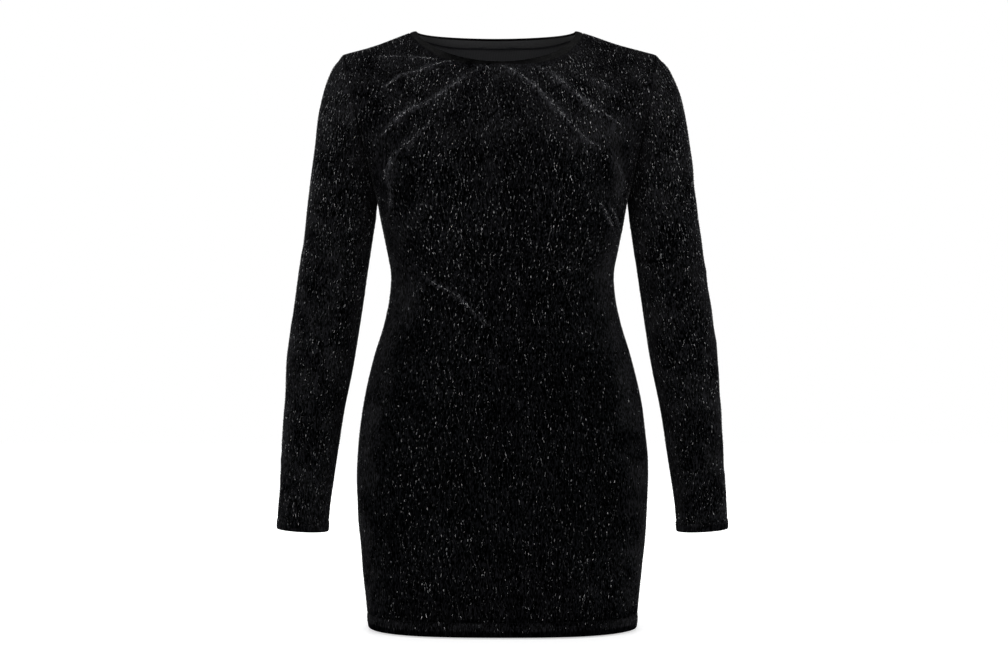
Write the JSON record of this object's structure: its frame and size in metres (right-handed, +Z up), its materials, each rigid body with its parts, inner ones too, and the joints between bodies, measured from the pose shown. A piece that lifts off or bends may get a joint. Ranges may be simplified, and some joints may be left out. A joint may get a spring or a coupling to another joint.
{
  "type": "bodycon mini dress",
  "caption": "Hollow long-sleeved bodycon mini dress of glittery stretch velvet, with a wide round neck, a narrow neckband and a straight hem.",
  "frame": {"origin": "where the wearer's shoulders hold the dress: midway between the two high points where the neck opening meets the shoulder seams, at the height of the band's upper edge", "axes": "+Z up from hem to neck, -Y the wearer's front, +X the wearer's left"},
  "size_m": [0.581, 0.2406, 0.7704],
  "materials": {
    "glitter_velvet": "black stretch velvet with fine silver metallic flecks, matt with a soft sheen at its edges",
    "band_velvet": "the same black stretch velvet, plain"
  },
  "bodies": {
    "root": {"front_panel": "glitter_velvet", "back_panel": "glitter_velvet", "sleeve_left": "glitter_velvet", "sleeve_right": "glitter_velvet", "neckband": "band_velvet"}
  },
  "joints": []
}
